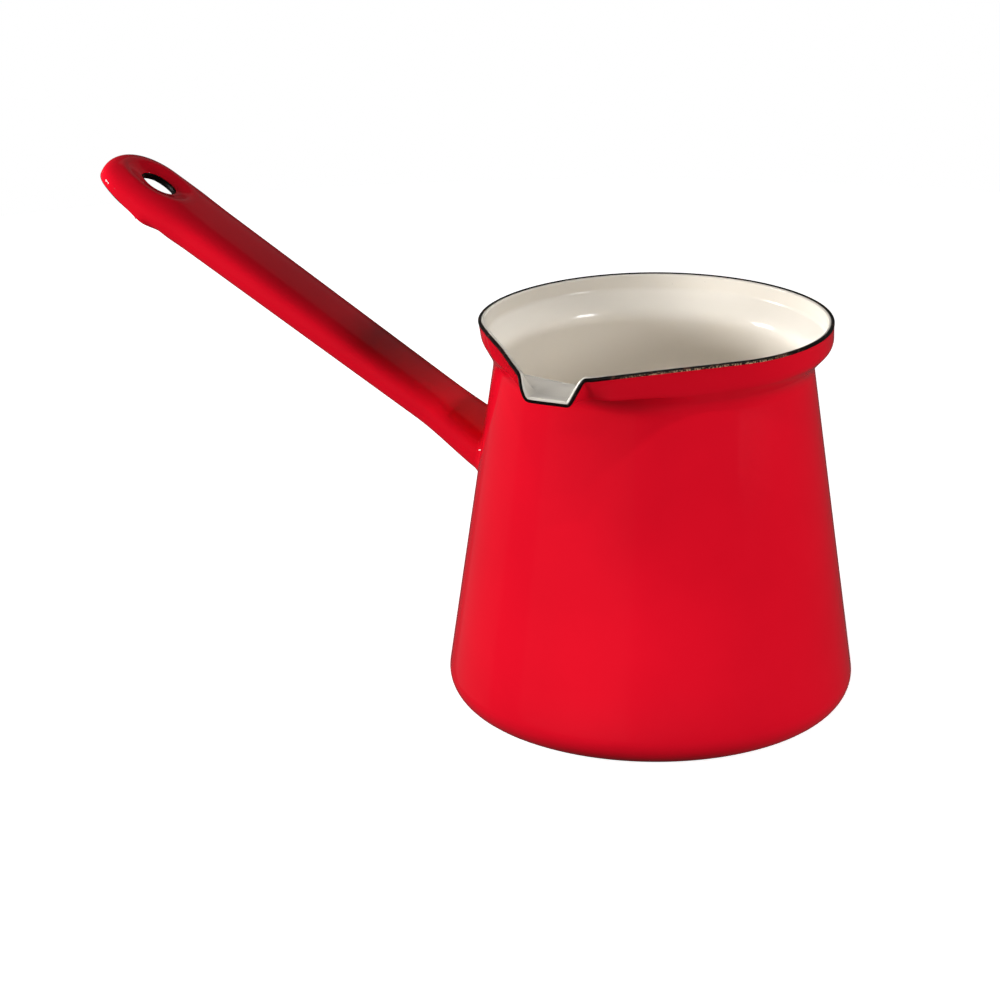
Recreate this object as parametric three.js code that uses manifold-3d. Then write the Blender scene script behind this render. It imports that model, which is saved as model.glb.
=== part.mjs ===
// A long-handled enamelled coffee pot: a deep-drawn steel body with a flared collar and a pressed
// pouring lip, and a hollow rolled-steel handle welded to its side.
// Millimetres, +Z up. The origin is the centre of the base, on the surface that the pot stands on.
// The lip points along -Y and the handle along -X.
import * as THREE from 'three';
import { mergeVertices } from 'three/addons/utils/BufferGeometryUtils.js';
import Module from 'manifold-3d';

const wasm = await Module();
wasm.setup();

// ---- Driving dimensions -----------------------------------------------------------------------

const DEGREE = Math.PI / 180;

// Wall: a cone that narrows from the base to the neck.
const WALL_RADIUS_AT_FLOOR = 53.2;
const WALL_TAPER = 0.1455;          // radius lost per millimetre of height
const BASE_CORNER_RADIUS = 6.8;
const NECK_HEIGHT = 89.8;
const COLLAR_START_HEIGHT = 81;     // where the wall begins to curve into the neck
const COLLAR_BEND_HEIGHT = 85.5;

// Collar: the flare above the neck and the upright band that ends in the rim.
const BAND_RADIUS = 44.55;
const BAND_FOOT_HEIGHT = 95.1;
const RIM_RADIUS = 44.5;
const RIM_OFFSET = 0.4;             // the mouth sits this far off the pot's axis
const RIM_OFFSET_ANGLE = 115 * DEGREE;
const RIM_HEIGHT = 99.6;
const RIM_TILT = 0.96;              // the rim isn't quite level: half its rise across the mouth
const RIM_TILT_ANGLE = 45 * DEGREE; // where the rim is highest, measured from the lip
const RIM_SWELL = 0.45;             // a gentle extra rise, opposite the lip
const RIM_SWELL_ANGLE = 205 * DEGREE;
const RIM_SWELL_POWER = 3;          // how tightly the extra rise is gathered
const FLARE_POINT = 0.62;           // where the flare is steered, as a share of its length
const BAND_STEER = 0.55;            // the same for the band
const RIM_BLEND = 0.5;              // softness of the bend from the round rim into the flanks

// Lip: two straight flanks run out to a channel whose end is cut square.
const FLANK_DISTANCE = 44.0;        // from the pot's axis to each flank's line
const FLANK_ANGLE = 47.7 * DEGREE;  // direction of each flank's normal, measured from the lip
const FLANK_LEAN = 2.1;             // how far each flank leans out over its foot at the lip
const LEAN_FADE = [9 * DEGREE, 100 * DEGREE];
const FOLD_FADE = [9 * DEGREE, 42 * DEGREE];
const LIP_REACH = 55.9;
const LIP_FOOT_REACH = 52.6;        // where the channel's floor levels out towards its end
const LIP_SKEW = 0.1;               // the cut end is slightly out of square
const LIP_HEIGHT = 93.6;            // underside of the channel at its end
const LIP_BLEND = 0.25;
const LIP_FLOOR_ANGLES = [-6.4 * DEGREE, 5.0 * DEGREE];
const LIP_CORNER_ANGLE = 8.6 * DEGREE;
const LIP_FOLD = [43.7, 94.7];      // radius and height where the channel folds over the collar
const LEFT_CORNER_SAG = 1.0;        // the flank on the handle's side dips towards the lip
const LEFT_SAG_ANGLE = 30 * DEGREE;

// Sheet and coats.
const SHELL_THICKNESS = 1.0;        // steel with its red coat
const LINING_THICKNESS = 0.4;
const COAT_GAP = 0.05;
const EDGE_GAP = 0.15;              // between the cut edge and its black coat
const EDGE_RISE = 0.7;              // the black edge coat stands this far above the cut steel
const EDGE_PROUD = 0.08;            // and this far out from the wall
const EDGE_BEVEL = 0.27;
const LINING_RISE = 0.35;

// Handle: a tube with an oval section on a straight line that climbs away from the wall. Its end
// is open underneath, like the bowl of a spoon turned over.
const HANDLE_ROOT = [42.3, 58.3];   // distance from the axis, height
const HANDLE_CLIMB = 27.8 * DEGREE;
const HANDLE_INSIDE = -4;           // the tube starts this far inside the root point, then is cut
const HANDLE_LENGTH = 137.1;
const HANDLE_SHEET = 1.0;
const TUBE_HALF_WIDTH = [9.1, 10.4];
const TUBE_HALF_HEIGHT = [5.0, 5.6];
const SECTION_ROUNDNESS = 2.3;      // exponent of the oval: 2 is an ellipse, more is squarer
const ROOT_FLARE = 1.7;
const ROOT_FLARE_LENGTH = 24;
const SPOON_START = 102;            // the tube turns into the open end from here
const SPOON_FULL = 119;
const SPOON_HALF_WIDTH = 11.7;
const SPOON_TOP = 5.4;
const SPOON_WIDEST = -0.4;          // level of the widest part of the section
const SPOON_EDGE = -1.9;            // level of the open edge
const SPOON_SQUARENESS = 8;         // exponent of the section's lower half at the open end
const BELLY_END = [108, 124];       // where the tube's underside rises to the open edge
const NOSE_START = 125;
const NOSE_SQUARENESS = 2.6;        // exponent of the nose's outline
const NOSE_DROP = 1.6;
const NOSE_EDGE_LIFT = 0.9;

// Hanging slot, in a dimple of the handle's top.
const SLOT_CENTRE = 122;
const SLOT_LENGTH = 11.4;
const SLOT_WIDTH = 7.6;
const SLOT_FLOOR = -1;              // the cutter's lower end, below the top sheet
const DIMPLE_DEPTH = 2.1;
const DIMPLE_REACH = [12, 8];
const DIMPLE_FLAT = 0.35;           // share of the dimple that lies at its full depth

// Black coats on the handle's cut edges.
const SLOT_COAT = 0.35;
const TIP_COAT = 0.35;
const TIP_COAT_START = 119;

// Joints between solids.
const GAP = 0.3;
const ROOT_WELD_LEG = 2.4;
const SEAM_START = 8;               // the tube is closed along its underside by a welded seam
const SEAM_END = 98;
const SEAM_WIDTH = 1.8;

// Mesh density.
const ROUND_ANGLE = 62 * DEGREE;    // the rim is round beyond this angle from the lip
const FLOOR_COLUMNS = 2;
const CORNER_COLUMNS = 3;
const FLANK_COLUMNS = 7;
const FLANK_CROWDING = 1.5;         // columns crowd towards the lip
const ROUND_COLUMNS = 13;
const CORNER_ROWS = 4;
const COLLAR_ROWS = 9;
const HANDLE_SIDES = 20;
const FLARE_STEPS = 4;
const SPOON_STEPS = 6;
const NOSE_STEPS = 6;

// Numerical limits.
const MERGE_DISTANCE = 1e-5;        // points closer than this are one point
const LEAST_COSINE = 0.1;           // keeps a flank's line finite far round from the lip
const SPLINE_END_MARGIN = 1e-9;     // keeps the curve's last point in its last span
const CUTTER_OVERRUN = 1;           // cutters run this far past what they cut
const LEAST_STEP = 0.5;             // the hollow's last two stations are at least this far apart
const MEETING_STEPS = 8;            // rounds of the search for where the handle meets the wall

// ---- Small maths ------------------------------------------------------------------------------

const lerp = (a, b, t) => a + (b - a) * t;
const clamp01 = (t) => Math.min(1, Math.max(0, t));
const smoothstep = (a, b, x) => {
  const t = clamp01((x - a) / (b - a));
  return t * t * (3 - 2 * t);
};
const softMin = (a, b, blend) => {
  const low = Math.min(a, b);
  return low - blend * Math.log(Math.exp((low - a) / blend) + Math.exp((low - b) / blend));
};
const polar = (radius, angle, height) =>
  new THREE.Vector3(radius * Math.sin(angle), -radius * Math.cos(angle), height);
const steps = (from, to, count) =>
  Array.from({ length: count + 1 }, (_, i) => lerp(from, to, i / count));

// ---- Meshes from rings of points --------------------------------------------------------------

function geometryOf(points, triangles) {
  const geometry = new THREE.BufferGeometry();
  geometry.setAttribute('position',
    new THREE.Float32BufferAttribute(points.flatMap((p) => [p.x, p.y, p.z]), 3));
  geometry.setIndex(triangles);
  return geometry;
}

// Joins each ring to the next with triangles; the rings run anticlockwise seen from the last one.
// From the ring numbered turn on, where rings come back along an inner face, each four-sided patch
// is split along its other diagonal, so that coats with the same stations fit each other exactly.
function ringTriangles(ringCount, size, wrap, turn = ringCount) {
  const triangles = [];
  const last = wrap ? ringCount : ringCount - 1;
  for (let i = 0; i < last; i += 1) {
    for (let j = 0; j < size; j += 1) {
      const a = i * size + j;
      const b = i * size + (j + 1) % size;
      const c = ((i + 1) % ringCount) * size + (j + 1) % size;
      const d = ((i + 1) % ringCount) * size + j;
      triangles.push(...(i < turn ? [a, b, c, a, c, d] : [a, b, d, b, c, d]));
    }
  }
  return triangles;
}

// A closed body of rings, with a centre point that closes each end.
function capped(rings, startPole, endPole, turn) {
  const size = rings[0].length;
  const triangles = ringTriangles(rings.length, size, false, turn);
  const start = rings.length * size;
  for (let j = 0; j < size; j += 1) {
    const next = (j + 1) % size;
    triangles.push(start, next, j);
    triangles.push(start + 1, start - size + j, start - size + next);
  }
  return geometryOf([...rings.flat(), startPole, endPole], triangles);
}

// A closed body of rings that return to the first one.
function hoop(rings) {
  return geometryOf(rings.flat(), ringTriangles(rings.length, rings[0].length, true));
}

function toSolid(geometry) {
  const bare = new THREE.BufferGeometry();
  bare.setAttribute('position', geometry.getAttribute('position'));
  bare.setIndex(geometry.getIndex());
  const merged = mergeVertices(bare, MERGE_DISTANCE);
  return new wasm.Manifold(new wasm.Mesh({
    numProp: 3,
    vertProperties: new Float32Array(merged.getAttribute('position').array),
    triVerts: new Uint32Array(merged.getIndex().array),
  }));
}

function fromSolid(solid) {
  const mesh = solid.getMesh();
  const geometry = new THREE.BufferGeometry();
  geometry.setAttribute('position', new THREE.Float32BufferAttribute(mesh.vertProperties, 3));
  geometry.setIndex(Array.from(mesh.triVerts));
  return geometry;
}

// ---- Pot surface ------------------------------------------------------------------------------

const wallRadius = (height) => WALL_RADIUS_AT_FLOOR - WALL_TAPER * height;

// 1 in the channel, fading to 0 where the collar is round again.
const lipShare = (angle, fade) => 1 - smoothstep(fade[0], fade[1], Math.abs(angle));

// Radius of a round rim whose front is drawn out into two straight flanks and cut off square.
function drawnOutRadius(round, flankDistance, reach, angle) {
  const offFlank = Math.abs(angle) - FLANK_ANGLE;
  const flank = flankDistance / Math.max(Math.cos(offFlank), LEAST_COSINE);
  const end = reach / (Math.cos(angle) + LIP_SKEW * Math.sin(angle));
  const offset = RIM_OFFSET * Math.cos(angle - RIM_OFFSET_ANGLE);
  return offset + (offFlank > 0 ? softMin(round, flank, RIM_BLEND) : softMin(flank, end, LIP_BLEND));
}

function rimPoint(angle) {
  const swell = RIM_SWELL * Math.max(Math.cos(angle - RIM_SWELL_ANGLE), 0) ** RIM_SWELL_POWER;
  const level = RIM_HEIGHT + RIM_TILT * Math.cos(angle - RIM_TILT_ANGLE) + swell;
  const sag = LEFT_CORNER_SAG * smoothstep(LEFT_SAG_ANGLE, LIP_CORNER_ANGLE, -angle);
  const floorEdge = Math.abs(LIP_FLOOR_ANGLES[angle < 0 ? 0 : 1]);
  const cut = clamp01((Math.abs(angle) - floorEdge) / (LIP_CORNER_ANGLE - floorEdge));
  return [drawnOutRadius(RIM_RADIUS, FLANK_DISTANCE, LIP_REACH, angle),
    lerp(LIP_HEIGHT, level - sag, cut)];
}

function bandFoot(angle) {
  const share = lipShare(angle, LEAN_FADE);
  const radius = drawnOutRadius(BAND_RADIUS, FLANK_DISTANCE, LIP_FOOT_REACH, angle)
    - FLANK_LEAN * share * smoothstep(0, LIP_CORNER_ANGLE, Math.abs(angle));
  return [radius, lerp(BAND_FOOT_HEIGHT, LIP_HEIGHT, share)];
}

const mix = (p, q, t) => [lerp(p[0], q[0], t), lerp(p[1], q[1], t)];

// Points that steer the meridian curve from the wall, through the neck, to the rim.
function collarControls(angle) {
  const neck = [wallRadius(NECK_HEIGHT), NECK_HEIGHT];
  const foot = bandFoot(angle);
  const rim = rimPoint(angle);
  const flare = mix(mix(neck, foot, FLARE_POINT), LIP_FOLD, lipShare(angle, FOLD_FADE));
  return [
    [wallRadius(COLLAR_START_HEIGHT), COLLAR_START_HEIGHT],
    [wallRadius(COLLAR_BEND_HEIGHT), COLLAR_BEND_HEIGHT],
    neck, flare, foot, mix(foot, rim, BAND_STEER), rim,
  ];
}

// A clamped quadratic B-spline through the meridian plane, t from 0 to 1.
function splinePoint(controls, t) {
  const spans = controls.length - 2;
  const place = Math.min(t * spans, spans - SPLINE_END_MARGIN);
  const span = Math.floor(place);
  const u = place - span;
  const start = span === 0 ? controls[0] : mix(controls[span], controls[span + 1], 0.5);
  const end = span === spans - 1 ? controls[span + 2] : mix(controls[span + 1], controls[span + 2], 0.5);
  return mix(mix(start, controls[span + 1], u), mix(controls[span + 1], end, u), u);
}

// Stations along a meridian: 0 to 1 is the base corner, 1 to 2 the wall, 2 to 3 the collar.
const WALL_STATION = 1;
const COLLAR_STATION = 2;
const RIM_STATION = 3;

const WALL_LEAN = Math.atan(WALL_TAPER);
const CORNER_TANGENT = BASE_CORNER_RADIUS * Math.tan((Math.PI / 2 + WALL_LEAN) / 2);
const FOOT_RADIUS = WALL_RADIUS_AT_FLOOR - CORNER_TANGENT;

function cornerPoint(t) {
  const turn = -Math.PI / 2 + t * (Math.PI / 2 + WALL_LEAN);
  return [FOOT_RADIUS + BASE_CORNER_RADIUS * Math.cos(turn),
    BASE_CORNER_RADIUS * (1 + Math.sin(turn))];
}

function meridianPoint(angle, station) {
  if (station <= WALL_STATION) return cornerPoint(station);
  if (station <= COLLAR_STATION) {
    const low = cornerPoint(1)[1];
    const height = lerp(low, COLLAR_START_HEIGHT, station - WALL_STATION);
    return [wallRadius(height), height];
  }
  return splinePoint(collarControls(angle), station - COLLAR_STATION);
}

function onPot(angle, station) {
  const [radius, height] = meridianPoint(angle, station);
  return polar(radius, angle, height);
}

const STATION_PROBE = 0.01;
const ANGLE_PROBE = 0.8 * DEGREE;

// The direction up the sheet, towards the rim.
function upSheet(angle, station) {
  const from = Math.max(station - STATION_PROBE, 0);
  const to = Math.min(station + STATION_PROBE, RIM_STATION);
  return onPot(angle, to).sub(onPot(angle, from)).normalize();
}

function outward(angle, station) {
  const around = onPot(angle + ANGLE_PROBE, station).sub(onPot(angle - ANGLE_PROBE, station));
  return around.cross(upSheet(angle, station)).normalize();
}

// A point at a depth below the outer face, moved a further distance up the sheet.
function inSheet(angle, station, depth, rise = 0) {
  return onPot(angle, station)
    .addScaledVector(outward(angle, station), -depth)
    .addScaledVector(upSheet(angle, station), rise);
}

const halfTurn = (floorEdge) => [
  ...steps(0, floorEdge, FLOOR_COLUMNS).slice(1),
  ...steps(floorEdge, LIP_CORNER_ANGLE, CORNER_COLUMNS).slice(1),
  ...steps(0, 1, FLANK_COLUMNS).slice(1).map((t) =>
    lerp(LIP_CORNER_ANGLE, ROUND_ANGLE, t ** FLANK_CROWDING)),
  ...steps(ROUND_ANGLE, Math.PI, ROUND_COLUMNS).slice(1, -1),
];
const ANGLES = [
  ...halfTurn(-LIP_FLOOR_ANGLES[0]).map((angle) => -angle).reverse(), 0,
  ...halfTurn(LIP_FLOOR_ANGLES[1]), Math.PI,
];
const STATIONS = [
  ...steps(0, WALL_STATION, CORNER_ROWS),
  ...steps(COLLAR_STATION, RIM_STATION, COLLAR_ROWS),
];

const ringAt = (station, depth, rise) =>
  ANGLES.map((angle) => inSheet(angle, station, depth, rise));

// One coat or sheet of the pot, between two depths, closed over the rim.
function cupGeometry(outerDepth, innerDepth, rise) {
  const outer = STATIONS.map((station) => ringAt(station, outerDepth));
  const inner = STATIONS.map((station) => ringAt(station, innerDepth)).reverse();
  const top = rise > 0 ? [outerDepth, innerDepth].map((depth) => ringAt(RIM_STATION, depth, rise)) : [];
  return capped([...outer, ...top, ...inner], new THREE.Vector3(0, 0, outerDepth),
    new THREE.Vector3(0, 0, innerDepth), outer.length);
}

// The black edge coat: a rounded bead on the cut edge of the sheet.
function rimEdgeGeometry() {
  const far = SHELL_THICKNESS;
  const section = [
    [-EDGE_PROUD, EDGE_GAP], [-EDGE_PROUD, EDGE_RISE - EDGE_BEVEL], [EDGE_BEVEL, EDGE_RISE],
    [far - EDGE_BEVEL, EDGE_RISE], [far, EDGE_RISE - EDGE_BEVEL], [far, EDGE_GAP],
  ];
  return hoop(section.map(([depth, rise]) => ringAt(RIM_STATION, depth, rise)));
}

// ---- Handle -----------------------------------------------------------------------------------

const ALONG = new THREE.Vector3(-Math.cos(HANDLE_CLIMB), 0, Math.sin(HANDLE_CLIMB));
const ABOVE = new THREE.Vector3(Math.sin(HANDLE_CLIMB), 0, Math.cos(HANDLE_CLIMB));
const SIDE = new THREE.Vector3(0, -1, 0);
const ROOT = new THREE.Vector3(-HANDLE_ROOT[0], 0, HANDLE_ROOT[1]);

// A point in the handle's own frame: along it, to one side, and above its centre line.
const onHandle = (along, side, above) => ROOT.clone()
  .addScaledVector(ALONG, along)
  .addScaledVector(SIDE, side)
  .addScaledVector(ABOVE, above);

// Half-width, top, widest level, underside and lower squareness at a distance along the handle.
function handleSection(along) {
  const tube = clamp01(along / SPOON_START);
  const spoon = smoothstep(SPOON_START, SPOON_FULL, along);
  const flare = ROOT_FLARE * (1 - smoothstep(0, ROOT_FLARE_LENGTH, along));
  const nose = clamp01((along - NOSE_START) / (HANDLE_LENGTH - NOSE_START));
  const round = (1 - nose ** NOSE_SQUARENESS) ** (1 / NOSE_SQUARENESS);
  const half = lerp(...TUBE_HALF_WIDTH, tube) + flare;
  const high = lerp(...TUBE_HALF_HEIGHT, tube);
  const dome = lerp(SPOON_WIDEST, SPOON_TOP - NOSE_DROP * nose, Math.sqrt(round));
  const edge = SPOON_EDGE + NOSE_EDGE_LIFT * nose;
  return {
    half: lerp(half, SPOON_HALF_WIDTH, spoon) * round,
    top: lerp(high, dome, spoon),
    widest: lerp(0, SPOON_WIDEST, spoon),
    under: lerp(-high - flare, edge, smoothstep(...BELLY_END, along)),
    squareness: lerp(SECTION_ROUNDNESS, SPOON_SQUARENESS, spoon ** 2),
  };
}

function dimpleDepth(along, side) {
  const far = Math.hypot((along - SLOT_CENTRE) / DIMPLE_REACH[0], side / DIMPLE_REACH[1]);
  return DIMPLE_DEPTH * (1 - smoothstep(DIMPLE_FLAT, 1, far));
}

const THINNEST = 0.02;
const TURNS = Array.from({ length: HANDLE_SIDES }, (_, i) => (2 * Math.PI * i) / HANDLE_SIDES);

// A point on the section, inset from the outer face. An open underside takes the level it runs to.
function sectionPoint(along, turn, inset, openTo) {
  const { half, top, widest, under, squareness } = handleSection(along);
  const isTop = turn <= Math.PI;
  const power = 2 / (isTop ? SECTION_ROUNDNESS : squareness);
  const spread = Math.sign(Math.cos(turn)) * Math.abs(Math.cos(turn)) ** power;
  const side = Math.max(half - inset, THINNEST) * spread;
  const level = isTop ? top - inset : openTo ?? under + inset;
  const reach = Math.max(Math.abs(level - widest), THINNEST);
  const rise = Math.sign(Math.sin(turn)) * Math.abs(Math.sin(turn)) ** power;
  return onHandle(along, side, widest + reach * rise - (isTop ? dimpleDepth(along, side) : 0));
}

const sectionRing = (along, inset, openTo) =>
  TURNS.map((turn) => sectionPoint(along, turn, inset, openTo));

const HANDLE_STATIONS = [
  HANDLE_INSIDE,
  ...steps(0, ROOT_FLARE_LENGTH, FLARE_STEPS),
  ...steps(SPOON_START, NOSE_START, SPOON_STEPS),
  ...steps(0, 1, NOSE_STEPS).slice(1).map((t) =>
    lerp(NOSE_START, HANDLE_LENGTH, Math.sin((t * Math.PI) / 2))),
];

const middle = (ring) =>
  ring.reduce((sum, p) => sum.add(p), new THREE.Vector3()).divideScalar(ring.length);

// A solid through rings of points, closed by a flat fan at each end.
const sweep = (rings) => toSolid(capped(rings, middle(rings[0]), middle(rings.at(-1))));

const handleOuter = sweep(HANDLE_STATIONS.map((along) => sectionRing(along, 0)));

// The hollow: inset by the sheet, and running out through the underside where the end is open.
function handleHollow() {
  const openTo = SPOON_EDGE * 2;
  const end = HANDLE_LENGTH - HANDLE_SHEET;
  const stations = [HANDLE_INSIDE - CUTTER_OVERRUN,
    ...HANDLE_STATIONS.filter((along) => along < end - LEAST_STEP), end];
  return sweep(stations.map((along) => {
    const closed = handleSection(along).under + HANDLE_SHEET;
    return sectionRing(along, HANDLE_SHEET,
      lerp(closed, openTo, smoothstep(SPOON_START, SPOON_FULL, along)));
  }));
}

// The wall's outer face, let out by the gap that the handle keeps to it.
const wallClearance = () => sweep([0, COLLAR_START_HEIGHT].map((height) =>
  ANGLES.map((angle) => polar(wallRadius(height) + GAP, angle, height))));

// A prism across the handle whose outline is the slot's, grown all round.
function slotPrism(grow) {
  const end = SLOT_WIDTH / 2 + grow;
  const reach = (SLOT_LENGTH - SLOT_WIDTH) / 2;
  const outline = TURNS.map((turn) => turn + Math.PI / HANDLE_SIDES).map((turn) =>
    [reach * Math.sign(Math.cos(turn)) + end * Math.cos(turn), end * Math.sin(turn)]);
  return sweep([SLOT_FLOOR, SPOON_TOP + CUTTER_OVERRUN].map((above) =>
    outline.map(([along, side]) => onHandle(SLOT_CENTRE + along, side, above))));
}

// A box in the handle's frame, from one distance along it to another and between two levels.
function handleBox(from, to, width, low, high) {
  const corners = [[from, -width / 2], [to, -width / 2], [to, width / 2], [from, width / 2]];
  return sweep([low, high].map((above) =>
    corners.map(([along, side]) => onHandle(along, side, above))));
}

const handleSheet = handleOuter.subtract(handleHollow()).subtract(wallClearance());
const seamLevels = [-2 * TUBE_HALF_HEIGHT[1], -TUBE_HALF_HEIGHT[0] / 2];

const handleShell = () => handleSheet
  .subtract(slotPrism(0))
  .subtract(handleBox(SEAM_START, SEAM_END, SEAM_WIDTH, ...seamLevels));

// The weld metal that fills the seam, flush with the sheet.
const seamWeld = () => handleSheet
  .intersect(handleBox(SEAM_START + GAP, SEAM_END - GAP, SEAM_WIDTH - 2 * GAP, ...seamLevels));

// The black coat that lines the slot's cut edge.
const slotEdge = () => handleSheet
  .intersect(slotPrism(-COAT_GAP))
  .subtract(slotPrism(-SLOT_COAT));

// The black coat under the open end's cut edge: a strip along one side, round the nose and back.
function tipEdge() {
  const stations = HANDLE_STATIONS.filter((along) => along >= TIP_COAT_START);
  const leg = (sign) => stations.map((along) => {
    const { half, under } = handleSection(along);
    const nose = clamp01((along - NOSE_START) / (HANDLE_LENGTH - NOSE_START));
    const outer = [along, sign * half];
    const inner = [along - HANDLE_SHEET * nose, sign * Math.max(half - HANDLE_SHEET, 0)];
    const high = under - COAT_GAP;
    const low = high - TIP_COAT;
    return [[outer, high], [inner, high], [inner, low], [outer, low]]
      .map(([[at, side], above]) => onHandle(at, side, above));
  });
  return sweep([...leg(1), ...leg(-1).reverse().slice(1)]);
}

// Where the section's edge at a turn, let out by a distance, comes to the wall with the gap.
function rootMeeting(turn, letOut) {
  const axial = Math.cos(HANDLE_CLIMB);
  let along = 0;
  for (let i = 0; i < MEETING_STEPS; i += 1) {
    const p = sectionPoint(along, turn, -letOut);
    along += (wallRadius(p.z) + GAP - Math.hypot(p.x, p.y)) / axial;
  }
  return along;
}

// The fillet weld round the handle's root, with a leg on the handle and a leg on the wall.
function rootWeld() {
  const corner = TURNS.map((turn) => sectionPoint(rootMeeting(turn, GAP), turn, -GAP));
  const onWall = TURNS.map((turn) =>
    sectionPoint(rootMeeting(turn, GAP + ROOT_WELD_LEG), turn, -GAP - ROOT_WELD_LEG));
  const onTube = TURNS.map((turn) =>
    sectionPoint(rootMeeting(turn, GAP) + ROOT_WELD_LEG, turn, -GAP));
  return hoop([corner, onWall, onTube]);
}

// ---- Object -----------------------------------------------------------------------------------

const RED = { color: 0xc8101c, roughness: 0.16, metalness: 0 };
const CREAM = { color: 0xe6dfd2, roughness: 0.2, metalness: 0 };
const BLACK = { color: 0x120f0f, roughness: 0.35, metalness: 0 };

const pot = new THREE.Group();

function add(name, geometry, look) {
  const mesh = new THREE.Mesh(geometry, new THREE.MeshStandardMaterial(look));
  mesh.name = name;
  pot.add(mesh);
}

const liningDepth = SHELL_THICKNESS + COAT_GAP;
add('pot_shell', cupGeometry(0, SHELL_THICKNESS, 0), RED);
add('enamel_lining', cupGeometry(liningDepth, liningDepth + LINING_THICKNESS, LINING_RISE), CREAM);
add('rim_edge', rimEdgeGeometry(), BLACK);
add('handle_shell', fromSolid(handleShell()), RED);
add('handle_root_weld', rootWeld(), RED);
add('handle_seam_weld', fromSolid(seamWeld()), RED);
add('handle_tip_edge', fromSolid(tipEdge()), BLACK);
add('slot_edge', fromSolid(slotEdge()), BLACK);

export default pot;
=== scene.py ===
"""A red enamelled coffee pot: its fine surfaces, enamels, studio light and camera.

Lengths are millimetres until a mesh is made, in the part's own frame: the origin is the centre of
the base, +Z is up, the pouring lip points along -Y and the handle along -X.
"""
import math

import bmesh
import bpy
import numpy as np
from mathutils import Matrix, Vector


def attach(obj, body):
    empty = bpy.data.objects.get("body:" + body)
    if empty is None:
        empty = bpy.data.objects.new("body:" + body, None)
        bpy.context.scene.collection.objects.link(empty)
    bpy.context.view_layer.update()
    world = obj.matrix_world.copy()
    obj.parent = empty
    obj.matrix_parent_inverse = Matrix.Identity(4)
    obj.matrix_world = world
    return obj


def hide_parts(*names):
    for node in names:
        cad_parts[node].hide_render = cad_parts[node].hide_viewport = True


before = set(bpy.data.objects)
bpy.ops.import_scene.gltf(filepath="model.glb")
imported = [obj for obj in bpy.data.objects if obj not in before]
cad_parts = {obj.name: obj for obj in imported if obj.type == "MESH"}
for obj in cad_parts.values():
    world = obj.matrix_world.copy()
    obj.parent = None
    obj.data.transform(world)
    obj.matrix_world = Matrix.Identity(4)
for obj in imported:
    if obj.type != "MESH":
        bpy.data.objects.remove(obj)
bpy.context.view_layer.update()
MM = 0.001

# ---- Driving dimensions -------------------------------------------------------------------------

# Wall, base corner, collar and rim. Heights are above the table.
WALL_RADIUS_AT_FLOOR = 53.2
WALL_TAPER = 0.1455
BASE_CORNER_RADIUS = 6.8
NECK_HEIGHT = 89.8
COLLAR_START_HEIGHT = 81.0
COLLAR_BEND_HEIGHT = 85.5
BAND_RADIUS = 44.55
BAND_FOOT_HEIGHT = 95.1
RIM_RADIUS = 44.5
RIM_OFFSET = 0.4
RIM_OFFSET_ANGLE = math.radians(115)
RIM_HEIGHT = 99.6
RIM_TILT = 0.96
RIM_TILT_ANGLE = math.radians(45)
RIM_SWELL = 0.45
RIM_SWELL_ANGLE = math.radians(205)
RIM_SWELL_POWER = 3
FLARE_POINT = 0.62
BAND_STEER = 0.55
RIM_BLEND = 0.5

# Pouring lip: two straight flanks that run out to a short, square-cut channel.
FLANK_DISTANCE = 44.0
FLANK_ANGLE = math.radians(47.7)
FLANK_LEAN = 2.1
LEAN_FADE = (math.radians(9), math.radians(100))
FOLD_FADE = (math.radians(9), math.radians(42))
LIP_REACH = 55.9
LIP_FOOT_REACH = 52.6
LIP_SKEW = 0.1
LIP_HEIGHT = 93.6
LIP_BLEND = 0.25
LIP_FLOOR_ANGLES = (math.radians(7.0), math.radians(5.0))
LIP_CORNER_ANGLE = math.radians(8.6)
LIP_FOLD = (43.7, 94.7)
LIP_ROUNDING = (0.3, 0.07)
LEFT_CORNER_SAG = 1.0
LEFT_SAG_ANGLE = math.radians(30)

# Coats, and the black bead on the rim. Depths go in from the outer face, insets back out from the
# lining's own face, and rises up from the sheet's end. Pairs are depth or inset, and rise.
SHELL_THICKNESS = 1.0
SHELL_TOP = ((0.1, 0.06), (0.5, 0.1), (0.9, 0.06))
LINING_DEPTH = 1.05
LINING_THICKNESS = 0.4
LINING_START = (0.3, 0.2)
LINING_ROLL_INSET = 0.35
LINING_ROLL_REACH = 0.75
LINING_ROLL_FOOT = 0.02
LINING_ROLL_RISE = 0.44
EDGE_GAP = 0.1
EDGE_RISE = 0.7
EDGE_CENTRE = 0.36
EDGE_HALF_WIDTH = 0.42
EDGE_CROWN = 0.35
EDGE_OUTER_FOOT = 0.2
EDGE_INNER_FOOT = 0.25
# Light specks on the bead's outer side, between the lip and the side: partly chipped enamel,
# partly painted glints.
SPECK_LEVEL = 0.42
SPECK_DEPTH = 0.25
SPECK_BLEND = 0.2
SPECK_FROM = (math.radians(14), math.radians(22))
SPECK_TO = (math.radians(66), math.radians(74))

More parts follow.
